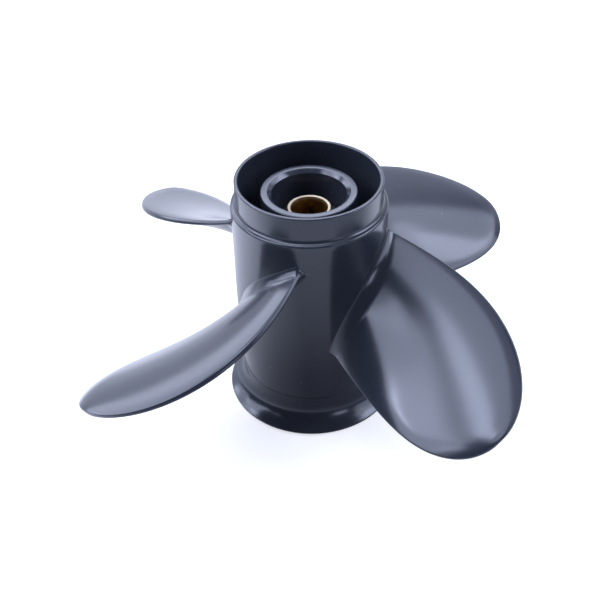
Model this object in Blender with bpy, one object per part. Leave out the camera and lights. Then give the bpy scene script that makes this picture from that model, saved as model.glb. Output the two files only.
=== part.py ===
"""Four-blade outboard propeller with through-hub exhaust.

Metres, +Z up. The shaft axis is the Z axis and the rear rim of the hub stands on z = 0, so the front of
the propeller, the gearcase end, points up. The tip of blade_1 lies over the +X axis.
"""

from math import atan2, cos, pi, radians, sin, sqrt

import bmesh
import bpy

GAP = 0.0003                      # between two pieces that touch

# Blades
BLADE_COUNT = 4
PROPELLER_DIAMETER = 0.3048       # 12 in
HUB_END_RADIUS = 0.04285          # radius at which the blade stations begin
PITCH = (0.3264, 0.3383, 0.3297)  # travel per turn at the hub, half way out and at the tip, about 13 in
REFERENCE_HEIGHT = 0.0750         # height of the blade's reference line at the hub
# Five equal stations from the hub to the tip. The widths are along the helix, from the reference line to
# each edge, before the outline is rounded off to the tip.
LEADING_WIDTH = (0.0533, 0.0593, 0.0667, 0.0716, 0.0701)
TRAILING_WIDTH = (0.0250, 0.0288, 0.0358, 0.0459, 0.0593)
RAKE_DROP = (0.0, 0.0036, 0.0060, 0.0078, 0.0093)
CAMBER = (0.051, 0.019)           # height of the arched section over its width, at the hub and at the tip
THICKNESS = (0.0088, 0.0030)      # at mid-width, at the hub and at the tip
EDGE_THICKNESS = (0.0026, 0.0020)  # of the blunt edge, at the hub and at the tip
FORWARD_CHAMFER = 0.0005          # where the forward face meets the edge
REAR_CHAMFER = 0.0012
EDGE_BLEND = 0.03                 # width under which the faces go flat towards the tip
CURL_WIDTH = 0.0065               # the band along the outer trailing edge that curls to the rear
CURL_DROP = 0.0015
# Root fillets, at the trailing end, the middle and the leading end: along the barrel and out along the blade
FORWARD_FILLET = (0.0090, 0.0042, 0.0040)
REAR_FILLET = (0.0060, 0.0045, 0.0040)
EDGE_FILLET = (0.0040, 0.0022)    # at the trailing and the leading edge
FILLET_REACH = (0.0090, 0.0060, 0.0070)
FILLET_POWER = 1.3                # 2 is a round fillet and less is flatter

# Hub
HUB_HEIGHT = 0.1473
JOINT_HEIGHT = 0.0208             # fine line between the barrel and the flared ring
SHOULDER_HEIGHT = 0.1325
SPIGOT_RADIUS = 0.0410
SPIGOT_BORE_RADIUS = 0.0388
BARREL_RADIUS = 0.0436
SHOULDER_RADIUS = 0.0439
NECK_RADIUS = 0.0416              # outside of the barrel at the joint line
NECK_BORE_RADIUS = 0.0383
FLARE_RADIUS = 0.0512
FLARE_BORE_RADIUS = 0.0474

INNER_HUB_TOP = 0.1391
INNER_HUB_BOTTOM = 0.0380
INNER_HUB_RADIUS = 0.0269
INNER_HUB_BORE = 0.0209
MOUTH_RADIUS = 0.0231             # where the chamfer of the bore meets the flat front ring
MOUTH_DEPTH = 0.0020

RIB_TOP = 0.1120
RIB_BOTTOM = 0.0460
RIB_THICKNESS = 0.0060

SLEEVE_TOP = 0.1284
SLEEVE_BOTTOM = 0.0420
SLEEVE_RADIUS = 0.01206
SLEEVE_MOUTH_RADIUS = 0.01046
SLEEVE_MOUTH_DEPTH = 0.0120       # plain part of the bore, ahead of the splines
SLEEVE_CHAMFER = 0.0003           # depth of the bright front face at the mouth
SPLINE_TEETH = 13
SPLINE_MAJOR_RADIUS = 0.0103
SPLINE_MINOR_RADIUS = 0.0091

BUSH_TOP = 0.1190
BUSH_BOTTOM = 0.0500

# Fineness of the solids
BARREL_SEGMENTS = 64
INNER_SEGMENTS = 52
SECTION_STEPS = 14                # across one face of a blade
SPAN_STEPS = 12                   # along a blade, outside the root fillet
FILLET_ROWS = (0.0, 0.10, 0.35, 0.70)
CAP_STEPS = 4
ROOT_CLEARANCE = GAP + 0.0001     # flat facets of the blade end stay clear of the round barrel


def clear_scene():
    for item in list(bpy.data.objects):
        bpy.data.objects.remove(item, do_unlink=True)


def make_material(name, colour, roughness, metallic):
    material = bpy.data.materials.new(name)
    material.use_nodes = True
    shader = material.node_tree.nodes["Principled BSDF"]
    shader.inputs["Base Color"].default_value = (*colour, 1.0)
    shader.inputs["Roughness"].default_value = roughness
    shader.inputs["Metallic"].default_value = metallic
    return material


def finish_object(bm, name, material, crease_degrees):
    """Turn a bmesh into a smooth-shaded object with its faces pointing out."""
    bmesh.ops.recalc_face_normals(bm, faces=bm.faces)
    mesh = bpy.data.meshes.new(name)
    bm.to_mesh(mesh)
    bm.free()
    mesh.materials.append(material)
    mesh.shade_smooth()
    mesh.set_sharp_from_angle(angle=radians(crease_degrees))
    piece = bpy.data.objects.new(name, mesh)
    bpy.context.collection.objects.link(piece)
    return piece


def corner(radius, height, size, start, steps=2):
    """Quarter-round corner of a turned profile, from angle start to start - 90 degrees."""
    points = []
    for step in range(steps + 1):
        angle = radians(start - 90.0 * step / steps)
        points.append((radius + size * cos(angle), height + size * sin(angle)))
    return points


def turn(name, profile, segments, material):
    """Turn a closed outline of (radius, height) points about the Z axis."""
    bm = bmesh.new()
    points = [bm.verts.new((radius, 0.0, height)) for radius, height in profile]
    outline = [bm.edges.new((points[i - 1], points[i])) for i in range(len(points))]
    bmesh.ops.spin(bm, geom=points + outline, cent=(0, 0, 0), axis=(0, 0, 1), dvec=(0, 0, 0),
                   angle=2.0 * pi, steps=segments, use_merge=True, use_duplicate=False)
    return finish_object(bm, name, material, 30.0)


def barrel_radius(height):
    """Outside radius of the barrel: nearly straight, drawn in towards the joint line."""
    if height > SHOULDER_HEIGHT - 0.02:
        rise = (height - (SHOULDER_HEIGHT - 0.02)) / 0.02
        return BARREL_RADIUS + (SHOULDER_RADIUS - BARREL_RADIUS) * min(1.0, rise)
    taper_top = 0.075
    if height > taper_top:
        return BARREL_RADIUS
    fall = (taper_top - height) / (taper_top - JOINT_HEIGHT)
    return BARREL_RADIUS - (BARREL_RADIUS - NECK_RADIUS) * min(1.0, fall) ** 1.5


def make_barrel(material):
    edge = 0.0007
    step = 0.0013
    foot = SHOULDER_HEIGHT + 0.0004
    profile = corner(SPIGOT_RADIUS - edge, HUB_HEIGHT - edge, edge, 90.0)
    profile += [(SPIGOT_RADIUS, foot + 0.8 * step), (SPIGOT_RADIUS + 0.2 * step, foot + 0.2 * step)]
    profile += [(SPIGOT_RADIUS + 0.8 * step, foot)]
    profile += corner(SHOULDER_RADIUS - step, SHOULDER_HEIGHT - step, step, 90.0)
    for height in (0.1125, 0.075, 0.060, 0.046, 0.033):
        profile.append((barrel_radius(height), height))
    profile.append((NECK_RADIUS, JOINT_HEIGHT + GAP / 2))
    profile.append((NECK_BORE_RADIUS, JOINT_HEIGHT + GAP / 2))
    profile.append((SPIGOT_BORE_RADIUS, HUB_HEIGHT - edge))
    profile.append((SPIGOT_BORE_RADIUS + edge, HUB_HEIGHT))
    turn("hub_barrel", profile, BARREL_SEGMENTS, material)


def make_diffuser_ring(material):
    """Ring that widens in a smooth curve from the joint line to the rim."""
    rim = 0.0010
    top = JOINT_HEIGHT - GAP / 2
    profile = [(NECK_RADIUS, top)]
    for height in (0.0165, 0.0130, 0.0096, 0.0068, 0.0043):
        widening = ((JOINT_HEIGHT - height) / (JOINT_HEIGHT - 0.0016)) ** 3.2
        profile.append((NECK_RADIUS + (FLARE_RADIUS - NECK_RADIUS) * widening, height))
    profile += corner(FLARE_RADIUS - rim, 0.0022 - rim, rim, 60.0)
    profile.append((FLARE_RADIUS - 1.5 * rim, 0.0))
    profile.append((FLARE_BORE_RADIUS, 0.0))
    profile += [(0.0447, 0.0032), (0.0418, 0.0072), (0.0395, 0.0120), (0.0385, 0.0165)]
    profile.append((NECK_BORE_RADIUS, top))
    turn("diffuser_ring", profile, BARREL_SEGMENTS, material)


def make_inner_hub(material):
    edge = 0.0006
    profile = corner(INNER_HUB_RADIUS - edge, INNER_HUB_TOP - edge, edge, 90.0)
    profile.append((INNER_HUB_RADIUS, INNER_HUB_BOTTOM + edge))
    profile.append((INNER_HUB_RADIUS - edge, INNER_HUB_BOTTOM))
    profile.append((MOUTH_RADIUS, INNER_HUB_BOTTOM))
    profile.append((INNER_HUB_BORE, INNER_HUB_BOTTOM + MOUTH_DEPTH))
    profile.append((INNER_HUB_BORE, INNER_HUB_TOP - MOUTH_DEPTH))
    profile.append((MOUTH_RADIUS, INNER_HUB_TOP))
    turn("inner_hub", profile, INNER_SEGMENTS, material)


def make_bush(material):
    inner = SLEEVE_RADIUS + GAP
    outer = INNER_HUB_BORE - GAP
    edge = 0.0015
    profile = [(inner, BUSH_TOP), (outer - edge, BUSH_TOP), (outer, BUSH_TOP - edge)]
    profile += [(outer, BUSH_BOTTOM + edge), (outer - edge, BUSH_BOTTOM), (inner, BUSH_BOTTOM)]
    turn("rubber_bush", profile, INNER_SEGMENTS, material)


def ring_of(bm, count, radius_at, height):
    ring = []
    for index in range(count):
        angle = 2.0 * pi * index / count
        radius = radius_at(index)
        ring.append(bm.verts.new((radius * cos(angle), radius * sin(angle), height)))
    return ring


def make_sleeve(material):
    """Brass tube: a plain mouth at each end and straight-sided splines between them."""
    count = 4 * SPLINE_TEETH
    edge = 0.0003

    def spline_radius(index):
        return SPLINE_MINOR_RADIUS if index % 4 < 2 else SPLINE_MAJOR_RADIUS

    bm = bmesh.new()
    steps = [(lambda i: SLEEVE_RADIUS, SLEEVE_BOTTOM + edge), (lambda i: SLEEVE_RADIUS, SLEEVE_TOP - edge)]
    steps += [(lambda i: SLEEVE_RADIUS - edge, SLEEVE_TOP)]
    steps += [(lambda i: SLEEVE_MOUTH_RADIUS, SLEEVE_TOP - SLEEVE_CHAMFER)]
    steps += [(lambda i: SLEEVE_MOUTH_RADIUS, SLEEVE_TOP - SLEEVE_MOUTH_DEPTH)]
    steps += [(spline_radius, SLEEVE_TOP - SLEEVE_MOUTH_DEPTH), (spline_radius, SLEEVE_BOTTOM)]
    steps += [(lambda i: SLEEVE_RADIUS - edge, SLEEVE_BOTTOM)]
    rings = [ring_of(bm, count, radius_at, height) for radius_at, height in steps]
    for upper, lower in zip(rings, rings[1:] + rings[:1]):
        for i in range(count):
            j = (i + 1) % count
            bm.faces.new((upper[i], upper[j], lower[j], lower[i]))
    finish_object(bm, "spline_sleeve", material, 30.0)


def make_ribs(material):
    """Webs with rounded front and rear edges, half way between the hub's X and Y axes."""
    inner = INNER_HUB_RADIUS + GAP
    outer = NECK_BORE_RADIUS - GAP
    height = RIB_TOP - RIB_BOTTOM
    for number in range(4):
        bm = bmesh.new()
        bmesh.ops.create_cube(bm, size=1.0)
        for vert in bm.verts:
            side = vert.co.y * RIB_THICKNESS
            reach = sqrt((inner if vert.co.x < 0 else outer) ** 2 - side ** 2)
            vert.co = (reach, side, RIB_BOTTOM + (vert.co.z + 0.5) * height)
        ends = [e for e in bm.edges if abs(e.verts[0].co.x - e.verts[1].co.x) > 0.5 * (outer - inner)]
        bmesh.ops.bevel(bm, geom=ends, offset=0.45 * RIB_THICKNESS, segments=3, profile=0.5, affect="EDGES")
        rib = finish_object(bm, "rib_%d" % (number + 1), material, 50.0)
        rib.rotation_euler.z = radians(45.0 + 90.0 * number)


def through_stations(values, place):
    """Smooth curve through equally spaced stations; place runs from 0 at the first to 1 at the last."""
    last = len(values) - 1
    total = 0.0
    for i, value in enumerate(values):
        weight = 1.0
        for j in range(last + 1):
            if j != i:
                weight *= (place * last - j) / (i - j)
        total += value * weight
    return total


def section_loop():
    """Places around a blade's section, as (face, side, corner).

    face runs from -1 at the trailing end of the faces to 1 at the leading end. side is 1 on the forward face
    and -1 on the rear face. corner is 1 on the edge itself and 0 on a face.
    """
    forward = [(sin(pi * (i / SECTION_STEPS - 0.5)), 1, 0) for i in range(SECTION_STEPS + 1)]
    rear = [(face, -1, 0) for face, _, _ in reversed(forward)]
    return forward + [(1.0, 1, 1), (1.0, -1, 1)] + rear + [(-1.0, -1, 1), (-1.0, 1, 1)]


def root_fillet(face, side, corner):
    """How far the fillet spreads along the barrel at a place around the root."""
    if corner:
        return EDGE_FILLET[0] if face < 0 else EDGE_FILLET[1]
    return through_stations(FORWARD_FILLET if side > 0 else REAR_FILLET, (face + 1.0) / 2.0)


def fillet_spread(share, size):
    """What is left of a fillet's spread, at a share of its reach away from the barrel."""
    return size * (1.0 - (1.0 - (1.0 - share) ** FILLET_POWER) ** (1.0 / FILLET_POWER))


def edge_curl(outboard, across):
    """How far the blade curls to the rear along its edge."""
    reach = sqrt(outboard ** 2 + (1.0 - outboard ** 2) * across ** 2)
    to_edge = (1.0 - reach) * (0.060 + 0.050 * outboard ** 2)
    trailing = 0.5 - 0.5 * across * sqrt(1.0 - outboard ** 2)
    return CURL_DROP * trailing ** 2 * outboard * max(0.0, 1.0 - to_edge / CURL_WIDTH) ** 2


def blade_point(radius, face, side, corner, spread=0.0):
    """A point of the blade's skin, as the angle about the axis and the height."""
    place = (radius - HUB_END_RADIUS) / (PROPELLER_DIAMETER / 2 - HUB_END_RADIUS)
    outboard = min(max(place, 0.0), 1.0)
    taper = sqrt(1.0 - outboard ** 2)
    leading = through_stations(LEADING_WIDTH, place) * taper
    trailing = through_stations(TRAILING_WIDTH, place) * taper
    chord = leading + trailing
    chamfer = FORWARD_CHAMFER if side > 0 else REAR_CHAMFER
    edge = EDGE_THICKNESS[0] + (EDGE_THICKNESS[1] - EDGE_THICKNESS[0]) * outboard
    middle = THICKNESS[0] + (THICKNESS[1] - THICKNESS[0]) * place
    half = 0.5 * (edge + (middle - edge) * (1.0 - face ** 2) * min(1.0, chord / EDGE_BLEND))
    to_end = chord / 2 + spread if corner else chord / 2 - min(chamfer, 0.25 * chord)
    along = (leading - trailing) / 2 + to_end * face
    across = max(-1.0, min(1.0, (along - (leading - trailing) / 2) / max(chord / 2, 1e-9)))
    arch = CAMBER[0] + (CAMBER[1] - CAMBER[0]) * place
    off = arch * chord * (1.0 - across ** 2) - edge_curl(outboard, across)
    off += side * (half - chamfer if corner else half + spread)
    helix = atan2(through_stations(PITCH, place), 2.0 * pi * radius)
    angle = (along * cos(helix) - off * sin(helix)) / radius
    height = REFERENCE_HEIGHT - through_stations(RAKE_DROP, place) + along * sin(helix) + off * cos(helix)
    return angle, height


def root_radius(face, side, corner):
    radius = BARREL_RADIUS
    for _ in range(6):
        spread = root_fillet(face, side, corner)
        radius = barrel_radius(blade_point(radius, face, side, corner, spread)[1]) + ROOT_CLEARANCE
    return radius


def cylinder_point(radius, angle, height):
    return (radius * cos(angle), radius * sin(angle), height)


def blade_mesh():
    bm = bmesh.new()
    loop = section_loop()
    start = [root_radius(*place) for place in loop]
    tip_radius = PROPELLER_DIAMETER / 2

    stations = [(share, 0.0) for share in FILLET_ROWS]
    stations += [(1.0, sin(pi / 2 * step / SPAN_STEPS)) for step in range(SPAN_STEPS)]
    rings = []
    for fillet_share, span_share in stations:
        ring = []
        for place, radius in zip(loop, start):
            foot = radius + fillet_share * through_stations(FILLET_REACH, (place[0] + 1.0) / 2.0)
            out = foot + (tip_radius - foot) * span_share
            spread = fillet_spread(fillet_share, root_fillet(*place))
            ring.append(bm.verts.new(cylinder_point(out, *blade_point(out, *place, spread))))
        rings.append(ring)
    for inner, outer in zip(rings, rings[1:]):
        for i in range(len(loop)):
            j = (i + 1) % len(loop)
            bm.faces.new((inner[i], inner[j], outer[j], outer[i]))
    tip = bm.verts.new(cylinder_point(tip_radius, *blade_point(tip_radius, 0.0, 0, 0)))
    for i in range(len(loop)):
        bm.faces.new((rings[-1][i], rings[-1][(i + 1) % len(loop)], tip))
    close_root(bm, rings[0])
    return bm


def close_root(bm, ring):
    """Close the inner end with strips that follow the barrel, and a fan at each end."""
    count = len(ring)
    columns = []
    for i in range(SECTION_STEPS + 1):
        near, far = ring[i], ring[count - 3 - i]
        column = [near]
        for step in range(1, CAP_STEPS):
            middle = near.co.lerp(far.co, step / CAP_STEPS)
            radius = barrel_radius(middle.z) + ROOT_CLEARANCE
            scale = radius / sqrt(middle.x ** 2 + middle.y ** 2)
            column.append(bm.verts.new((middle.x * scale, middle.y * scale, middle.z)))
        column.append(far)
        columns.append(column)
    for left, right in zip(columns, columns[1:]):
        for step in range(CAP_STEPS):
            bm.faces.new((left[step], left[step + 1], right[step + 1], right[step]))
    half = CAP_STEPS // 2
    leading = (ring[SECTION_STEPS + 1], ring[SECTION_STEPS + 2], columns[-1])
    trailing = (ring[count - 1], ring[count - 2], columns[0])
    for near, far, column in (leading, trailing):
        for step in range(CAP_STEPS):
            bm.faces.new((near if step < half else far, column[step], column[step + 1]))
        bm.faces.new((near, column[half], far))


def make_blades(material):
    for number in range(BLADE_COUNT):
        blade = finish_object(blade_mesh(), "blade_%d" % (number + 1), material, 60.0)
        blade.rotation_euler.z = 2.0 * pi * number / BLADE_COUNT


def main():
    clear_scene()
    enamel = make_material("enamel", (0.055, 0.065, 0.085), 0.35, 0.0)
    rubber = make_material("rubber", (0.012, 0.012, 0.013), 0.75, 0.0)
    brass = make_material("brass", (0.55, 0.38, 0.14), 0.3, 1.0)
    make_barrel(enamel)
    make_diffuser_ring(enamel)
    make_inner_hub(enamel)
    make_ribs(enamel)
    make_blades(enamel)
    make_bush(rubber)
    make_sleeve(brass)


main()
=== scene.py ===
"""The looks of the four-blade outboard propeller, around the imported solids.

Metres, in the frame of the solids: +Z up along the shaft axis, the tip of blade_1 over +X, and the rear rim
of the hub on z = 0. The pieces here are finer versions of the solids, with their rounded edges and fillets.
"""

from math import atan2, cos, pi, radians, sin, sqrt, tan

import bmesh
import bpy
from mathutils import Matrix, Vector


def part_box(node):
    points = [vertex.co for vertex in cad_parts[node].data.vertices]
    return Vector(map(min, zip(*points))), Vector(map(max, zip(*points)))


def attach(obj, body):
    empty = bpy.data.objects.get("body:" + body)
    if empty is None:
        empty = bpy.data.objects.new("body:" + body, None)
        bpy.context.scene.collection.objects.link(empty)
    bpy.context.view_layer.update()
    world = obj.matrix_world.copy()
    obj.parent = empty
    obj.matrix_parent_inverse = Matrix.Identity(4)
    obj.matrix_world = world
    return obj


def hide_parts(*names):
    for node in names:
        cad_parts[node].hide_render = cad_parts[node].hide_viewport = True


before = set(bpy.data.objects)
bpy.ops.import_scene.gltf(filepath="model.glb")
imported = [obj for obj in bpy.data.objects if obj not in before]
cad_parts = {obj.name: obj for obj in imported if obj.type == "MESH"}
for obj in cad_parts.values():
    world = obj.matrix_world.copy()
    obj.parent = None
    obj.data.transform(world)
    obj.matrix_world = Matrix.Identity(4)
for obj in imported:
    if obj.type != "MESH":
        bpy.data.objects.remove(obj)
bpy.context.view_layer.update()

# Blades. A row of values runs from the hub to the tip in equal steps.
BLADE_COUNT = 4
TIP_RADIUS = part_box("blade_1")[1].x
HUB_END_RADIUS = 0.04285          # where the rows start
PITCH = (0.3264, 0.3383, 0.3297)
REFERENCE_HEIGHT = 0.0750
# Along the helix, from the reference line to each edge, before the outline is rounded off to the tip
LEADING_WIDTH = (0.0533, 0.0593, 0.0667, 0.0716, 0.0701)
TRAILING_WIDTH = (0.0250, 0.0288, 0.0358, 0.0459, 0.0593)
RAKE_DROP = (0.0, 0.0036, 0.0060, 0.0078, 0.0093)
CAMBER = (0.051, 0.019)           # height of the arched section over its width
THICKNESS = (0.0088, 0.0030)      # at mid-width
EDGE_BLEND = 0.03                 # width under which the faces go flat towards the tip
# The blunt edges: their thickness, and their rounding on the forward and on the rear face
LEADING_EDGE = (0.0026, 0.0031, 0.0020)
TRAILING_EDGE = (0.0026, 0.0023, 0.0020)
LEADING_ROUNDING = (0.0005, 0.0016, 0.0005)
TRAILING_ROUNDING = (0.0005, 0.0005, 0.0005)
REAR_ROUNDING = 0.0012
ROUNDING_LIMIT = 0.25             # over the blade's width
# How far the leading edge lies nearer to the gearcase end, and how sharply that sets in towards the edge
LEADING_LIFT = (0.0, 0.0013, 0.0)
LIFT_POWER = 4

# The curl to the rear along the outer edge, on the leading side and on the trailing side
CURL_WIDTH = (0.0105, 0.0125)
CURL_DROP = (0.0011, 0.0018)
CURL_POWER = (2.0, 3.0)
CURL_TIP_POWER = 8                # the higher, the nearer to the tip the leading side's curl ends
CURL_TURN = (0.48, 0.24)          # where one goes over into the other, and over how much of the outline
EDGE_DISTANCE = (0.060, 0.050)    # from a blade's middle at the hub, and how much more at the tip

# Root fillets, at the trailing end, the middle and the leading end of the root
FORWARD_FILLET = (0.0030, 0.0042, 0.0034)   # along the barrel
REAR_FILLET = (0.0060, 0.0045, 0.0040)
EDGE_FILLET = (0.0012, 0.0014)    # at the trailing and the leading edge
FILLET_REACH = (0.0050, 0.0060, 0.0048)     # out along the blade
FILLET_POWER = (1.3, 1.3, 1.8)    # 2 is a round fillet, and less is flatter in the middle
TOE_SINK = 0.00003                # how far a fillet's thin edge lies under the surface it runs out on

# Barrel, from its front rim down to the joint line
HUB_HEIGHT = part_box("hub_barrel")[1].z
RIM_ROUNDING = 0.0007
SPIGOT_RADIUS = 0.0410
SPIGOT_BORE_RADIUS = 0.0388
SPIGOT_FILLET = 0.0023            # at its foot
SHOULDER_HEIGHT = 0.1320
SHOULDER_SLOPE = 0.0006           # how much higher it is at the foot of the spigot
SHOULDER_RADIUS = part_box("hub_barrel")[1].x
SHOULDER_ROUNDING = 0.0014
SHOULDER_REACH = 0.02             # height over which the barrel widens to it
BARREL_RADIUS = 0.0436
TAPER_TOP = 0.075                 # where the barrel begins to draw in towards the neck
TAPER_POWER = 1.5
NECK_RADIUS = 0.0416
NECK_BORE_RADIUS = 0.0383
JOINT_HEIGHT = 0.0208
JOINT_HALF_WIDTH = 0.00008        # of the fine line between the barrel and the flared ring
JOINT_ROUNDING = 0.0002

# Flared ring, down to the rear rim
FLARE_RADIUS = 0.0512
FLARE_BORE_RADIUS = 0.0474
FLARE_POWER = 3.2
FLARE_RIM = 0.0016                # height of the rim's outer corner
FLARE_RIM_CHAMFER = 0.0006
FLARE_RIM_ROUNDING = (0.0006, 0.0005)       # of its outer corner and of the two on the ground
FLARE_BORE = ((0.0447, 0.0032), (0.0418, 0.0072), (0.0395, 0.0120), (0.0385, 0.0165))

# Inner hub, ribs, bush and sleeve
INNER_HUB_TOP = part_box("inner_hub")[1].z
INNER_HUB_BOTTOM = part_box("inner_hub")[0].z
INNER_HUB_RADIUS = 0.0269
INNER_HUB_BORE = 0.0209
MOUTH_RADIUS = 0.0231             # where the chamfer of the bore meets the flat front ring
MOUTH_DEPTH = 0.0020
MOUTH_ROUNDING = 0.0002
CHAMFER_ROUNDING = 0.0003
RIB_COUNT = 4
RIB_FIRST_ANGLE = 45.0
RIB_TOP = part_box("rib_1")[1].z
RIB_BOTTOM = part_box("rib_1")[0].z
RIB_THICKNESS = 0.0060
RIB_FILLET = 0.0040
RIB_SINK = (0.00005, 0.0002)      # how far its ends go into the walls of the inner hub and the barrel
BUSH_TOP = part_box("rubber_bush")[1].z
BUSH_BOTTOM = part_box("rubber_bush")[0].z
BUSH_ROUNDING = (0.0006, 0.0016)  # at the sleeve and at the inner hub
SLEEVE_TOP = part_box("spline_sleeve")[1].z
SLEEVE_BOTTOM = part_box("spline_sleeve")[0].z
SLEEVE_RADIUS = 0.01206
SLEEVE_EDGE = 0.0003              # size of its rounded outer edges
SLEEVE_MOUTH_RADIUS = 0.01056
SLEEVE_MOUTH_DEPTH = 0.0120       # plain part of the bore, ahead of the splines
SLEEVE_CHAMFER = 0.0003           # depth of the bright front face at the mouth
SPLINE_TEETH = 13
SPLINE_MAJOR_RADIUS = 0.0103
SPLINE_MINOR_RADIUS = 0.0091
SPLINE_FRONT = (0.0001, 0.0009)   # below the plain part, where the teeth begin and where they are full

# Camera, from the photograph's 600 x 600 frame
IMAGE_SIZE = 600
FOCAL_PIXELS = 1004.1
SENSOR_WIDTH = 36.0
CAMERA_DISTANCE = 0.4660          # from the shaft axis, level
CAMERA_HEIGHT = 0.4378
CAMERA_AZIMUTH = 0.9086           # of the viewing direction, from +Y towards -X
CAMERA_YAW = -0.0141
CAMERA_PITCH = 0.6787
CAMERA_ROLL = -0.0283
CAMERA_RANGE = (0.05, 50.0)

# Softboxes: azimuth, which is 0 on the camera's side and 90 on its right, elevation, and how wide and how
# high each looks from the propeller, all in degrees. The last value is the radiance.
LIGHT_COLOUR = (0.765, 0.815, 1.0)
LIGHT_DISTANCE = 3.0
LIGHT_TARGET = Vector((0.0, 0.0, 0.07))
SOFTBOXES = {
    "left_softbox": (-84.0, 41.5, 36.0, 47.0, 5.6),
    "left_low_softbox": (-112.0, 19.0, 24.0, 22.0, 3.2),
    "left_softbox_core": (-97.0, 49.0, 16.0, 26.0, 3.2),
    "left_bright_edge": (-94.5, 38.5, 5.0, 3.0, 20.0),
    "left_upper_softbox": (-92.0, 69.0, 24.0, 9.0, 4.2),
    "left_front_softbox": (-58.0, 41.0, 16.0, 34.0, 2.0),
    "left_rear_softbox": (-134.0, 33.0, 32.0, 36.0, 4.3),
    "right_softbox": (96.3, 39.0, 52.6, 22.0, 4.2),
    "right_softbox_core": (92.0, 43.0, 21.0, 16.0, 6.2),
    "right_softbox_foot": (101.0, 31.0, 20.0, 9.0, 3.0),
    "right_low_softbox": (84.0, 19.0, 44.0, 20.0, 3.2),
    "right_front_softbox": (39.0, 16.0, 18.0, 12.0, 4.5),
    "rear_softbox": (180.0, 41.0, 28.0, 15.0, 6.2),
    "top_softbox": (-65.0, 88.0, 34.0, 27.0, 4.5),
    "top_right_softbox": (113.0, 71.0, 50.0, 14.0, 1.1),
    "top_softbox_core": (-98.0, 79.0, 15.0, 10.0, 8.2),
}

# Room
ROOM_RADIANCE = 0.08
VISIBLE_RADIANCE = 1.0            # of the room as the camera sees it
BACKDROP_RADIANCE = 1.4
BACKDROP_START = (0.25, 0.65)     # how far to the rear a direction points where the backdrop sets in
BACKDROP_TOP = (0.45, 0.75)       # how far up a direction points where it fades out

# Floor, which glows by itself: painted light that washes out the propeller's shadow on it as the camera sees
# it. Ranges are distances from the shaft axis.
FLOOR_SIZE = 4.0                  # half its width
FLOOR_COLOURS = ((0.58, 0.58, 0.58), (0.60, 0.60, 0.60))
FLOOR_TINT = (0.97, 0.98, 1.0)
FLOOR_GLOW = (0.52, 0.58)         # by the propeller, and farther out
FLOOR_GLOW_RANGE = (0.07, 0.18)
# The same floor as the propeller's surfaces mirror it, darker in colour and with a glow of its own: a painted
# shadow by the propeller, a table that fades out farther away, painted brighter patches of light on the
# camera's left and right, and a painted sweep of light that rises behind the propeller
MIRRORED_COLOUR = (0.20, 0.20, 0.20)
# Low by the propeller: a painted shadow of the propeller in what its surfaces mirror.
TABLE_GLOW = (0.10, 1.20)
TABLE_GLOW_RANGE = (0.08, 0.24)
TABLE_FADE = 0.3
TABLE_FADE_RANGE = (0.30, 0.55)
SIDE_PATCHES = ((-0.25, -0.01, 0.25, 2.3), (0.26, 0.06, 0.12, 1.2))   # right, to the rear, radius, glow
REAR_GLOW = 0.75
REAR_GLOW_RANGE = (0.22, 0.55)    # to the rear

# Materials
ENAMEL_COLOURS = ((0.0155, 0.0185, 0.0265), (0.0185, 0.0220, 0.0315))
ENAMEL_ROUGHNESS = (0.16, 0.20)
ENAMEL_TINT = (0.89, 0.92, 1.0)
SPECK_COLOUR = (0.30, 0.32, 0.35)
SPECK_RADIUS = 0.00028
SPECK_SCALE = 90.0                # cells to a metre, with at most one speck in each
BRASS_BRIGHT = ((0.44, 0.37, 0.265), (0.55, 0.475, 0.355))
BRASS_DULL = ((0.32, 0.185, 0.050), (0.46, 0.29, 0.105))
BRASS_ROUGHNESS = (0.24, 0.38)    # down the bore
BRASS_FACE_ROUGHNESS = 0.22       # more on the front face
BRASS_FACE_DEPTH = (0.0035, 0.0008)         # below the front, from the darker bore colour to the bright face
LATHE_SCALE = (40.0, 40.0, 9000.0)          # of the lathe marks, fine along the axis
RUBBER_COLOURS = ((0.006, 0.006, 0.0065), (0.016, 0.016, 0.017))
RUBBER_ROUGHNESS = (0.62, 0.82)
RUBBER_BLOOM_RANGE = (0.35, 0.75)
NOISE_RANGE = (0.3, 0.7)          # where most values of a noise lie

# Fineness of the pieces
HUB_SEGMENTS = 240
ARC_STEPS = 5
SHOULDER_ARC_STEPS = 9
BARREL_RING_SPACING = 0.003
FLARE_STEPS = 14
SECTION_STEPS = 44
CORNER_STEPS = 6
SPAN_STEPS = 90
FILLET_STEPS = 14
FILLET_CROWDING = 1.6             # of its rings towards the barrel
RIB_NOSE_STEPS = 10
RIB_SIDE_STEPS = 16
SPLINE_STEPS = 4                  # to a quarter of a tooth's share of the turn
ROOT_ROUNDS = 6                   # of the search for where the root meets the barrel
WELD_DISTANCE = 0.000001


def make_camera():
    data = bpy.data.cameras.new("photo_camera")
    data.sensor_width = SENSOR_WIDTH
    data.lens = FOCAL_PIXELS / IMAGE_SIZE * SENSOR_WIDTH
    data.clip_start, data.clip_end = CAMERA_RANGE
    camera = bpy.data.objects.new("photo_camera", data)
    bpy.context.scene.collection.objects.link(camera)
    place = Matrix.Rotation(CAMERA_AZIMUTH, 4, "Z") @ Vector((0.0, -CAMERA_DISTANCE, CAMERA_HEIGHT))
    turned = Matrix.Rotation(CAMERA_AZIMUTH - CAMERA_YAW, 4, "Z")
    turned = turned @ Matrix.Rotation(pi / 2 - CAMERA_PITCH, 4, "X") @ Matrix.Rotation(CAMERA_ROLL, 4, "Z")
    camera.matrix_world = Matrix.Translation(place) @ turned
    bpy.context.scene.camera = camera


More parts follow.
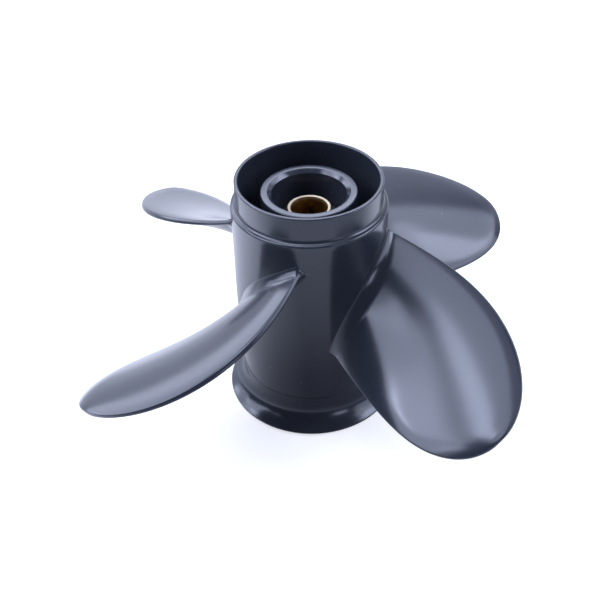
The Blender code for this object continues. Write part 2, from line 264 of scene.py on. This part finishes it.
def finish_piece(bm, name, material, replaced, crease_degrees=30.0):
    """Turn a bmesh into a smooth-shaded piece that rides on the casting and stands for its solid."""
    bmesh.ops.recalc_face_normals(bm, faces=bm.faces)
    if bm.calc_volume(signed=True) < 0.0:
        bmesh.ops.reverse_faces(bm, faces=bm.faces)
    mesh = bpy.data.meshes.new(name)
    bm.to_mesh(mesh)
    bm.free()
    mesh.materials.append(material)
    mesh.shade_smooth()
    mesh.set_sharp_from_angle(angle=radians(crease_degrees))
    piece = bpy.data.objects.new(name, mesh)
    bpy.context.scene.collection.objects.link(piece)
    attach(piece, "root")
    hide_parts(replaced)


def join_rings(bm, rings):
    """Faces between each ring of vertices and the next."""
    count = len(rings[0])
    for ring, after in zip(rings, rings[1:]):
        for i in range(count):
            j = (i + 1) % count
            bm.faces.new((ring[i], ring[j], after[j], after[i]))


def round_corners(points, steps):
    """A closed outline of (radius, height, rounding) points with each corner rounded by an arc."""
    outline = []
    count = len(points)
    for i, (x, y, size) in enumerate(points):
        here = Vector((x, y))
        if size <= 0.0:
            outline.append(here)
            continue
        before = (Vector(points[i - 1][:2]) - here).normalized()
        after = (Vector(points[(i + 1) % count][:2]) - here).normalized()
        half = before.angle(after) / 2.0
        trim = size / max(sin(half) / cos(half), 1e-6)
        middle = here + (before + after).normalized() * (size / sin(half))
        first = here + before * trim - middle
        last = here + after * trim - middle
        sweep = first.angle_signed(last)
        for step in range(steps + 1):
            turned = Matrix.Rotation(-sweep * step / steps, 2) @ first
            outline.append(middle + turned)
    return outline


def turned_piece(name, points, material, replaced, steps=ARC_STEPS):
    """Turn a closed outline about the Z axis."""
    bm = bmesh.new()
    rings = []
    for point in round_corners(points, steps):
        ring = []
        for i in range(HUB_SEGMENTS):
            angle = 2.0 * pi * i / HUB_SEGMENTS
            ring.append(bm.verts.new((point.x * cos(angle), point.x * sin(angle), point.y)))
        rings.append(ring)
    join_rings(bm, rings + rings[:1])
    finish_piece(bm, name, material, replaced)


def barrel_radius(height):
    """Outside radius of the barrel: nearly straight, drawn in towards the joint line."""
    if height > SHOULDER_HEIGHT - SHOULDER_REACH:
        rise = (height - (SHOULDER_HEIGHT - SHOULDER_REACH)) / SHOULDER_REACH
        return BARREL_RADIUS + (SHOULDER_RADIUS - BARREL_RADIUS) * min(1.0, rise)
    if height > TAPER_TOP:
        return BARREL_RADIUS
    fall = (TAPER_TOP - height) / (TAPER_TOP - JOINT_HEIGHT)
    return BARREL_RADIUS - (BARREL_RADIUS - NECK_RADIUS) * min(1.0, fall) ** TAPER_POWER


def make_barrel(material):
    """Open tube with a spigot at the front."""
    points = [
        (SPIGOT_BORE_RADIUS, HUB_HEIGHT, RIM_ROUNDING),
        (SPIGOT_RADIUS, HUB_HEIGHT, RIM_ROUNDING),
        (SPIGOT_RADIUS, SHOULDER_HEIGHT + SHOULDER_SLOPE, SPIGOT_FILLET),
        (SHOULDER_RADIUS, SHOULDER_HEIGHT, SHOULDER_ROUNDING),
    ]
    below_rounding = 0.004
    height = SHOULDER_HEIGHT - below_rounding
    while height > JOINT_HEIGHT + BARREL_RING_SPACING:
        points.append((barrel_radius(height), height, 0.0))
        height -= BARREL_RING_SPACING
    joint = JOINT_HEIGHT + JOINT_HALF_WIDTH
    points += [(NECK_RADIUS, joint, JOINT_ROUNDING), (NECK_BORE_RADIUS, joint, JOINT_ROUNDING)]
    turned_piece("hub_barrel_casting", points, material, "hub_barrel", SHOULDER_ARC_STEPS)


def make_diffuser_ring(material):
    """Ring that widens smoothly from the joint line down to the rear rim."""
    joint = JOINT_HEIGHT - JOINT_HALF_WIDTH
    points = [(NECK_BORE_RADIUS, joint, JOINT_ROUNDING), (NECK_RADIUS, joint, JOINT_ROUNDING)]
    for step in range(1, FLARE_STEPS):
        share = step / FLARE_STEPS
        height = JOINT_HEIGHT - (JOINT_HEIGHT - FLARE_RIM) * share
        radius = NECK_RADIUS + (FLARE_RADIUS - NECK_RADIUS) * share ** FLARE_POWER
        points.append((radius, height, 0.0))
    outer, ground = FLARE_RIM_ROUNDING
    points += [
        (FLARE_RADIUS, FLARE_RIM, outer),
        (FLARE_RADIUS - FLARE_RIM_CHAMFER, 0.0, ground),
        (FLARE_BORE_RADIUS, 0.0, ground),
    ]
    points += [(radius, height, 0.0) for radius, height in FLARE_BORE]
    turned_piece("diffuser_ring_casting", points, material, "diffuser_ring")


def make_inner_hub(material):
    """Tube with a flat front ring and a chamfer at both ends of its bore."""
    points = [
        (INNER_HUB_BORE, INNER_HUB_TOP - MOUTH_DEPTH, CHAMFER_ROUNDING),
        (MOUTH_RADIUS, INNER_HUB_TOP, MOUTH_ROUNDING),
        (INNER_HUB_RADIUS, INNER_HUB_TOP, RIM_ROUNDING),
        (INNER_HUB_RADIUS, INNER_HUB_BOTTOM, RIM_ROUNDING),
        (MOUTH_RADIUS, INNER_HUB_BOTTOM, CHAMFER_ROUNDING),
        (INNER_HUB_BORE, INNER_HUB_BOTTOM + MOUTH_DEPTH, CHAMFER_ROUNDING),
    ]
    turned_piece("inner_hub_casting", points, material, "inner_hub")


def make_bush(material):
    inner, outer = BUSH_ROUNDING
    points = [(SLEEVE_RADIUS, BUSH_TOP, inner), (INNER_HUB_BORE, BUSH_TOP, outer)]
    points += [(INNER_HUB_BORE, BUSH_BOTTOM, outer), (SLEEVE_RADIUS, BUSH_BOTTOM, inner)]
    turned_piece("rubber_bush_moulding", points, material, "rubber_bush")


def spline_radius(index):
    """Radius of the splined bore at a place around it: a tooth, a sloping flank, a space, a flank."""
    place = (index / SPLINE_STEPS) % 4.0
    depth = SPLINE_MAJOR_RADIUS - SPLINE_MINOR_RADIUS
    if place < 1.5:
        return SPLINE_MINOR_RADIUS
    if place < 2.0:
        return SPLINE_MINOR_RADIUS + depth * (place - 1.5) * 2.0
    if place < 3.5:
        return SPLINE_MAJOR_RADIUS
    return SPLINE_MAJOR_RADIUS - depth * (place - 3.5) * 2.0


def make_sleeve(material):
    """Brass tube with a chamfered plain mouth and splines below it."""
    def plain(radius):
        return lambda index: radius

    edge = SLEEVE_EDGE
    start = SLEEVE_TOP - SLEEVE_MOUTH_DEPTH
    teeth_begin, teeth_full = SPLINE_FRONT
    steps = [
        (plain(SLEEVE_RADIUS), SLEEVE_BOTTOM + edge),
        (plain(SLEEVE_RADIUS), SLEEVE_TOP - edge),
        (plain(SLEEVE_RADIUS - 0.5 * edge), SLEEVE_TOP - 0.2 * edge),
        (plain(SLEEVE_RADIUS - 1.3 * edge), SLEEVE_TOP),
        (plain(SLEEVE_MOUTH_RADIUS), SLEEVE_TOP - SLEEVE_CHAMFER),
        (plain(SLEEVE_MOUTH_RADIUS), start),
        (plain(SPLINE_MAJOR_RADIUS), start - teeth_begin),
        (spline_radius, start - teeth_full),
        (spline_radius, SLEEVE_BOTTOM),
        (plain(SLEEVE_RADIUS - edge), SLEEVE_BOTTOM),
    ]
    count = SPLINE_TEETH * 4 * SPLINE_STEPS
    bm = bmesh.new()
    rings = []
    for radius_at, height in steps:
        ring = []
        for i in range(count):
            angle = 2.0 * pi * i / count
            radius = radius_at(i)
            ring.append(bm.verts.new((radius * cos(angle), radius * sin(angle), height)))
        rings.append(ring)
    join_rings(bm, rings + rings[:1])
    finish_piece(bm, "spline_sleeve_turned", material, "spline_sleeve", crease_degrees=25.0)


def fillet_spread(share, size, power=2.0):
    """How far a fillet stands out from a wall, at a share of its size away from the hub.

    It is round with a power of 2, and flatter in the middle with a lower one.
    """
    return size * (1.0 - (1.0 - (1.0 - share) ** power) ** (1.0 / power))


def rib_outline(spread):
    """Outline of a rib as (side, height), with its fillet standing out from it by the spread."""
    half = RIB_THICKNESS / 2.0
    width = half + spread
    straight = RIB_TOP - RIB_BOTTOM - 2.0 * half
    outline = []
    for end, sign in ((RIB_TOP - half, 1.0), (RIB_BOTTOM + half, -1.0)):
        for step in range(RIB_NOSE_STEPS + 1):
            angle = pi * step / RIB_NOSE_STEPS
            outline.append((width * cos(angle) * sign, end + width * sin(angle) * sign))
        for step in range(1, RIB_SIDE_STEPS):
            outline.append((-width * sign, end - sign * straight * (step / RIB_SIDE_STEPS)))
    return outline


def make_ribs(material):
    """Webs with round front and rear edges and fillets where they meet the inner hub and the barrel."""
    inner = INNER_HUB_RADIUS
    outer = NECK_BORE_RADIUS + RIB_SINK[1]
    stations = [(inner - RIB_SINK[0], RIB_FILLET)]
    for step in range(1, FILLET_STEPS + 1):
        share = step / FILLET_STEPS
        stations.append((inner + share * RIB_FILLET, fillet_spread(share, RIB_FILLET)))
    for step in range(FILLET_STEPS + 1):
        share = 1.0 - step / FILLET_STEPS
        stations.append((outer - share * RIB_FILLET, fillet_spread(share, RIB_FILLET)))
    for number in range(RIB_COUNT):
        bm = bmesh.new()
        rings = []
        for reach, spread in stations:
            ring = []
            for side, height in rib_outline(spread):
                ring.append(bm.verts.new((sqrt(reach ** 2 - side ** 2), side, height)))
            rings.append(ring)
        join_rings(bm, rings)
        bm.faces.new(rings[0])
        bm.faces.new(rings[-1])
        bm.transform(Matrix.Rotation(radians(RIB_FIRST_ANGLE + 360.0 / RIB_COUNT * number), 4, "Z"))
        name = "rib_%d" % (number + 1)
        finish_piece(bm, name + "_casting", material, name)


def through_stations(values, place):
    """Smooth curve through equally spaced stations; place runs from 0 at the first to 1 at the last."""
    last = len(values) - 1
    total = 0.0
    for i, value in enumerate(values):
        weight = 1.0
        for j in range(last + 1):
            if j != i:
                weight *= (place * last - j) / (i - j)
        total += value * weight
    return total


def section_loop():
    """Places around a blade's section, as (face, side, corner).

    face runs from -1 at the trailing end of the faces to 1 at the leading end. side is 1 on the forward face
    and -1 on the rear face. corner turns from 0 on a face to pi / 2 on the blunt edge.
    """
    forward = [(sin(pi * (i / SECTION_STEPS - 0.5)), 1, 0.0) for i in range(SECTION_STEPS + 1)]
    corner = [pi / 2 * (i + 1) / CORNER_STEPS for i in range(CORNER_STEPS)]
    leading = [(1.0, 1, turn) for turn in corner] + [(1.0, -1, turn) for turn in reversed(corner)]
    rear = [(face, -1, 0.0) for face, _, _ in reversed(forward)]
    trailing = [(-1.0, -1, turn) for turn in corner] + [(-1.0, 1, turn) for turn in reversed(corner)]
    return forward + leading + rear + trailing


def root_fillet(face, side, corner):
    """How far the fillet spreads along the barrel at a place around the root: least at its two ends."""
    on_face = through_stations(FORWARD_FILLET if side > 0 else REAR_FILLET, (face + 1.0) / 2.0)
    on_edge = EDGE_FILLET[0] if face < 0 else EDGE_FILLET[1]
    return on_edge + (on_face - on_edge) * cos(corner) ** 2


def edge_curl(outboard, across):
    """How far the blade curls to the rear along its edge: most at the outer trailing edge."""
    reach = sqrt(outboard ** 2 + (1.0 - outboard ** 2) * across ** 2)
    to_edge = (1.0 - reach) * (EDGE_DISTANCE[0] + EDGE_DISTANCE[1] * outboard ** 2)
    trailing = 0.5 - 0.5 * across * sqrt(1.0 - outboard ** 2)
    turn = min(max((trailing - CURL_TURN[0]) / CURL_TURN[1], 0.0), 1.0)
    turn = turn * turn * (3.0 - 2.0 * turn)
    width = CURL_WIDTH[0] + (CURL_WIDTH[1] - CURL_WIDTH[0]) * turn
    power = CURL_POWER[0] + (CURL_POWER[1] - CURL_POWER[0]) * turn
    drop = CURL_DROP[0] * (1.0 - outboard ** CURL_TIP_POWER) * (1.0 - turn) + CURL_DROP[1] * turn
    return drop * outboard * max(0.0, 1.0 - to_edge / width) ** power


def blade_point(radius, face, side, corner, spread=0.0):
    """A point of the blade's skin, as the angle about the axis and the height.

    face, side and corner are as in section_loop, and spread is how far the root fillet stands out there.
    """
    place = (radius - HUB_END_RADIUS) / (TIP_RADIUS - HUB_END_RADIUS)
    outboard = min(max(place, 0.0), 1.0)
    taper = sqrt(1.0 - outboard ** 2)
    leading = through_stations(LEADING_WIDTH, place) * taper
    trailing = through_stations(TRAILING_WIDTH, place) * taper
    chord = leading + trailing
    lead = (face + 1.0) / 2.0

    edge = lead * through_stations(LEADING_EDGE, outboard)
    edge += (1.0 - lead) * through_stations(TRAILING_EDGE, outboard)
    rounding = REAR_ROUNDING
    if side > 0:
        rounding = lead * through_stations(LEADING_ROUNDING, outboard)
        rounding += (1.0 - lead) * through_stations(TRAILING_ROUNDING, outboard)
    round_in = min(rounding, ROUNDING_LIMIT * chord)
    to_tip = min(1.0, (TIP_RADIUS - radius) / rounding)
    tip_loss = rounding * (1.0 - sqrt(max(0.0, 1.0 - (1.0 - to_tip) ** 2)))
    middle = THICKNESS[0] + (THICKNESS[1] - THICKNESS[0]) * place
    half = 0.5 * (edge + (middle - edge) * (1.0 - face ** 2) * min(1.0, chord / EDGE_BLEND)) - tip_loss

    along = (leading - trailing) / 2 + (chord / 2 - round_in) * face
    along += (round_in + spread) * sin(corner) * face
    across = min(1.0, abs(along - (leading - trailing) / 2) / max(chord / 2, 1e-9)) * (1 if face > 0 else -1)
    arch = CAMBER[0] + (CAMBER[1] - CAMBER[0]) * place
    off = arch * chord * (1.0 - across ** 2)
    off += side * (half - (rounding - tip_loss) + (rounding - tip_loss + spread) * cos(corner))
    off += through_stations(LEADING_LIFT, outboard) * lead ** LIFT_POWER - edge_curl(outboard, across)

    helix = atan2(through_stations(PITCH, place), 2.0 * pi * radius)
    angle = (along * cos(helix) - off * sin(helix)) / radius
    height = REFERENCE_HEIGHT - through_stations(RAKE_DROP, place) + along * sin(helix) + off * cos(helix)
    return angle, height


def root_radius(face, side, corner):
    """Where the foot of the root fillet lies on the barrel, just under its surface."""
    radius = BARREL_RADIUS
    for _ in range(ROOT_ROUNDS):
        spread = root_fillet(face, side, corner)
        radius = barrel_radius(blade_point(radius, face, side, corner, spread)[1]) - TOE_SINK
    return radius


def blade_bmesh():
    """A blade with its root fillet, as rings around its section from the barrel out to the tip."""
    bm = bmesh.new()
    loop = section_loop()
    start = [root_radius(*place) for place in loop]
    stations = [((step / FILLET_STEPS) ** FILLET_CROWDING, 0.0) for step in range(FILLET_STEPS)]
    stations += [(1.0, sin(pi / 2 * step / SPAN_STEPS)) for step in range(SPAN_STEPS + 1)]
    rings = []
    for fillet_share, span_share in stations:
        ring = []
        for place, radius in zip(loop, start):
            lead = (place[0] + 1.0) / 2.0
            foot = radius + fillet_share * through_stations(FILLET_REACH, lead)
            out = foot + (TIP_RADIUS - foot) * span_share
            spread = fillet_spread(fillet_share, root_fillet(*place), through_stations(FILLET_POWER, lead))
            angle, height = blade_point(out, *place, spread)
            ring.append(bm.verts.new((out * cos(angle), out * sin(angle), height)))
        rings.append(ring)
    join_rings(bm, rings)

    first_rear = SECTION_STEPS + 2 * CORNER_STEPS + 1
    last_rear = first_rear + SECTION_STEPS
    for ring in (rings[0], rings[-1]):
        for i in range(SECTION_STEPS):
            opposite = last_rear - i
            bm.faces.new((ring[i], ring[i + 1], ring[opposite - 1], ring[opposite]))
        bm.faces.new(ring[SECTION_STEPS:first_rear + 1])
        bm.faces.new(ring[last_rear:] + ring[:1])
    bmesh.ops.remove_doubles(bm, verts=bm.verts, dist=WELD_DISTANCE)
    return bm


def make_blades(material):
    for number in range(BLADE_COUNT):
        bm = blade_bmesh()
        bm.transform(Matrix.Rotation(2.0 * pi * number / BLADE_COUNT, 4, "Z"))
        name = "blade_%d" % (number + 1)
        finish_piece(bm, name + "_casting", material, name, crease_degrees=60.0)


class Graph:
    """The nodes of a material or of the world, with short ways to add to them.

    A value is the output of another node, or else a plain number, colour or vector.
    """

    def __init__(self, owner):
        owner.use_nodes = True
        self.nodes = owner.node_tree.nodes
        self.links = owner.node_tree.links

    def feed(self, socket, value):
        if isinstance(value, bpy.types.NodeSocket):
            self.links.new(value, socket)
        elif socket.type == "RGBA":
            socket.default_value = (*value, 1.0)
        else:
            socket.default_value = value

    def add(self, kind, output, inputs, **settings):
        """Add a node with its settings and inputs, and give one of its outputs."""
        node = self.nodes.new(kind)
        for name, setting in settings.items():
            setattr(node, name, setting)
        for name, value in inputs.items():
            self.feed(node.inputs[name], value)
        return node.outputs[output]

    def position(self):
        return self.nodes.new("ShaderNodeTexCoord").outputs["Object"]

    def seen(self):
        """1 for what the camera sees itself, and 0 for what surfaces mirror."""
        return self.nodes.new("ShaderNodeLightPath").outputs["Is Camera Ray"]

    def noise(self, source, scale, detail, roughness):
        inputs = {"Vector": source, "Scale": scale, "Detail": detail, "Roughness": roughness}
        return self.add("ShaderNodeTexNoise", "Fac", inputs)

    def ramp(self, source, colours, places=NOISE_RANGE):
        """Go from one colour to another between two places of the source."""
        node = self.nodes.new("ShaderNodeValToRGB")
        for element, place, colour in zip(node.color_ramp.elements, places, colours):
            element.position = place
            element.color = (*colour, 1.0)
        self.links.new(source, node.inputs["Fac"])
        return node.outputs["Color"]

    def span(self, source, low, high, from_low, from_high):
        """Go evenly from low to high while the source goes from from_low to from_high."""
        inputs = {"Value": source, "From Min": from_low, "From Max": from_high, "To Min": low, "To Max": high}
        return self.add("ShaderNodeMapRange", "Result", inputs)

    def calculate(self, operation, *values):
        return self.add("ShaderNodeMath", "Value", dict(enumerate(values)), operation=operation)

    def measure(self, operation, *vectors):
        """A number from one or two vectors."""
        return self.add("ShaderNodeVectorMath", "Value", dict(enumerate(vectors)), operation=operation)

    def rearward(self, source):
        """How far a place or a direction lies to the rear, away from the camera's side."""
        return self.measure("DOT_PRODUCT", source, (-sin(CAMERA_AZIMUTH), cos(CAMERA_AZIMUTH), 0.0))

    def height(self, source):
        return self.add("ShaderNodeSeparateXYZ", "Z", {"Vector": source})

    def blend(self, factor, low, high):
        """Mix two colours."""
        return self.add("ShaderNodeMix", "Result", {"Factor": factor, "A": low, "B": high}, data_type="RGBA")

    def bump(self, height, distance, strength):
        inputs = {"Height": height, "Distance": distance, "Strength": strength}
        return self.add("ShaderNodeBump", "Normal", inputs)


def new_material(name):
    """A material's data, its nodes and its shader's inputs."""
    material = bpy.data.materials.new(name)
    graph = Graph(material)
    return material, graph, graph.nodes["Principled BSDF"].inputs


def specks(graph, place, colour):
    """Sparse pale specks of dust in the paint, about half a millimetre across."""
    cells = graph.nodes.new("ShaderNodeTexVoronoi")
    graph.feed(cells.inputs["Scale"], SPECK_SCALE)
    graph.feed(cells.inputs["Vector"], place)
    inside = graph.calculate("LESS_THAN", cells.outputs["Distance"], SPECK_RADIUS * SPECK_SCALE)
    chosen = graph.calculate("MULTIPLY", inside, cells.outputs["Color"])
    return graph.blend(chosen, colour, SPECK_COLOUR)


def enamel_material():
    """Semi-gloss dark blue-grey enamel over a casting, with a faint orange peel and a few pale specks."""
    material, graph, shader = new_material("dark_enamel")
    place = graph.position()
    tint = graph.noise(place, scale=18.0, detail=4.0, roughness=0.55)
    graph.feed(shader["Base Color"], specks(graph, place, graph.ramp(tint, ENAMEL_COLOURS)))
    haze = graph.noise(place, scale=35.0, detail=3.0, roughness=0.6)
    graph.feed(shader["Roughness"], graph.span(haze, *ENAMEL_ROUGHNESS, *NOISE_RANGE))
    graph.feed(shader["IOR"], 1.50)
    graph.feed(shader["Specular Tint"], ENAMEL_TINT)
    peel = graph.noise(place, scale=900.0, detail=2.0, roughness=0.5)
    graph.feed(shader["Normal"], graph.bump(peel, distance=0.00001, strength=0.5))
    return material


def brass_material():
    """Machined brass: fine lathe marks, and a darker, browner colour down the bore, below a brighter front
    face.
    """
    material, graph, shader = new_material("machined_brass")
    place = graph.position()
    brass_mottle = graph.noise(place, scale=220.0, detail=4.0, roughness=0.6)
    low, high = (SLEEVE_TOP - depth for depth in BRASS_FACE_DEPTH)
    face = graph.span(graph.height(place), 0.0, 1.0, low, high)
    # Darker and browner down the bore, brighter on the front face.
    colour = graph.blend(face, graph.ramp(brass_mottle, BRASS_DULL), graph.ramp(brass_mottle, BRASS_BRIGHT))
    graph.feed(shader["Base Color"], colour)
    graph.feed(shader["Metallic"], 1.0)
    rough = graph.span(brass_mottle, *BRASS_ROUGHNESS, *NOISE_RANGE)
    graph.feed(shader["Roughness"], graph.calculate("MULTIPLY_ADD", face, BRASS_FACE_ROUGHNESS, rough))
    around = graph.add("ShaderNodeMapping", "Vector", {"Vector": place, "Scale": LATHE_SCALE})
    marks = graph.noise(around, scale=1.0, detail=2.0, roughness=0.5)
    graph.feed(shader["Normal"], graph.bump(marks, distance=0.00001, strength=0.6))
    return material


def rubber_material():
    """Matt moulded rubber with a fine grain and a dusty bloom."""
    material, graph, shader = new_material("moulded_rubber")
    place = graph.position()
    bloom = graph.noise(place, scale=90.0, detail=4.0, roughness=0.6)
    graph.feed(shader["Base Color"], graph.ramp(bloom, RUBBER_COLOURS, RUBBER_BLOOM_RANGE))
    graph.feed(shader["Roughness"], graph.span(bloom, *RUBBER_ROUGHNESS, *NOISE_RANGE))
    grain = graph.noise(place, scale=1500.0, detail=2.0, roughness=0.5)
    graph.feed(shader["Normal"], graph.bump(grain, distance=0.00003, strength=0.6))
    return material


def floor_glow(graph, place, seen):
    """The floor's own light, which is painted light: nearly even as the camera sees it, and with a painted
    shadow by the propeller and painted bright parts when mirrored.
    """
    away = graph.measure("LENGTH", place)
    # The table's glow is low by the propeller: a painted shadow in what the surfaces mirror.
    table = graph.calculate("MULTIPLY", graph.span(away, *TABLE_GLOW, *TABLE_GLOW_RANGE),
                            graph.span(away, 1.0, TABLE_FADE, *TABLE_FADE_RANGE))
    patches = []
    for right, rearward, radius, glow in SIDE_PATCHES:
        middle = Matrix.Rotation(CAMERA_AZIMUTH, 3, "Z") @ Vector((right, rearward, 0.0))
        patches.append(graph.span(graph.measure("DISTANCE", place, middle), glow, 0.0, 0.0, radius))
    side = graph.calculate("ADD", *patches)
    rear = graph.span(graph.rearward(place), 0.0, REAR_GLOW, *REAR_GLOW_RANGE)
    mirrored = graph.calculate("ADD", table, graph.calculate("MAXIMUM", side, rear))
    # Painted light that washes out the propeller's shadow on the floor as the camera sees it.
    visible = graph.span(away, *FLOOR_GLOW, *FLOOR_GLOW_RANGE)
    return graph.calculate("ADD", graph.calculate("MULTIPLY", visible, seen),
                           graph.calculate("MULTIPLY", mirrored, graph.span(seen, 1.0, 0.0, 0.0, 1.0)))


def make_floor():
    """A pale table that glows by itself as painted light. The propeller's surfaces mirror it darker near them
    than the camera sees it, with a painted shadow of the propeller.
    """
    material, graph, shader = new_material("pale_floor")
    place = graph.position()
    seen = graph.seen()
    cloud = graph.noise(place, scale=3.0, detail=3.0, roughness=0.5)
    graph.feed(shader["Base Color"], graph.blend(seen, MIRRORED_COLOUR, graph.ramp(cloud, FLOOR_COLOURS)))
    graph.feed(shader["Emission Color"], graph.blend(seen, LIGHT_COLOUR, FLOOR_TINT))
    graph.feed(shader["Emission Strength"], floor_glow(graph, place, seen))
    graph.feed(shader["Roughness"], 0.9)
    graph.feed(shader["Specular IOR Level"], 0.1)
    bm = bmesh.new()
    bmesh.ops.create_grid(bm, x_segments=2, y_segments=2, size=FLOOR_SIZE)
    mesh = bpy.data.meshes.new("floor")
    bm.to_mesh(mesh)
    bm.free()
    mesh.materials.append(material)
    floor = bpy.data.objects.new("floor", mesh)
    bpy.context.scene.collection.objects.link(floor)


def make_world():
    """A dark room on the camera's side, with a low pale wall behind the propeller."""
    world = bpy.data.worlds.new("studio")
    graph = Graph(world)
    direction = graph.nodes.new("ShaderNodeTexCoord").outputs["Generated"]
    behind = graph.span(graph.rearward(direction), 0.0, BACKDROP_RADIANCE, *BACKDROP_START)
    low = graph.span(graph.height(direction), 1.0, 0.0, *BACKDROP_TOP)
    mirrored = graph.calculate("MULTIPLY_ADD", behind, low, ROOM_RADIANCE)
    seen = graph.seen()
    background = graph.nodes["Background"].inputs
    graph.feed(background["Color"], graph.blend(seen, LIGHT_COLOUR, (VISIBLE_RADIANCE,) * 3))
    graph.feed(background["Strength"], graph.calculate("MAXIMUM", mirrored, seen))
    bpy.context.scene.world = world


def make_softbox(name, azimuth, elevation, wide, high, radiance):
    """A flat soft light aimed at the propeller, with its values as in SOFTBOXES."""
    data = bpy.data.lights.new(name, "AREA")
    data.shape = "RECTANGLE"
    data.size = 2.0 * LIGHT_DISTANCE * tan(radians(wide / 2))
    data.size_y = 2.0 * LIGHT_DISTANCE * tan(radians(high / 2))
    data.energy = radiance * pi * data.size * data.size_y
    data.color = LIGHT_COLOUR
    light = bpy.data.objects.new(name, data)
    bpy.context.scene.collection.objects.link(light)
    turned = radians(azimuth) + CAMERA_AZIMUTH
    rise = radians(elevation)
    way = Vector((sin(turned) * cos(rise), -cos(turned) * cos(rise), sin(rise)))
    light.location = LIGHT_TARGET + way * LIGHT_DISTANCE
    light.rotation_mode = "QUATERNION"
    light.rotation_quaternion = way.to_track_quat("Z", "Y")


make_camera()
make_floor()
for softbox, values in SOFTBOXES.items():
    make_softbox(softbox, *values)
make_world()
bpy.context.scene.view_settings.view_transform = "Standard"
enamel = enamel_material()
make_barrel(enamel)
make_diffuser_ring(enamel)
make_inner_hub(enamel)
make_ribs(enamel)
make_blades(enamel)
make_bush(rubber_material())
make_sleeve(brass_material())
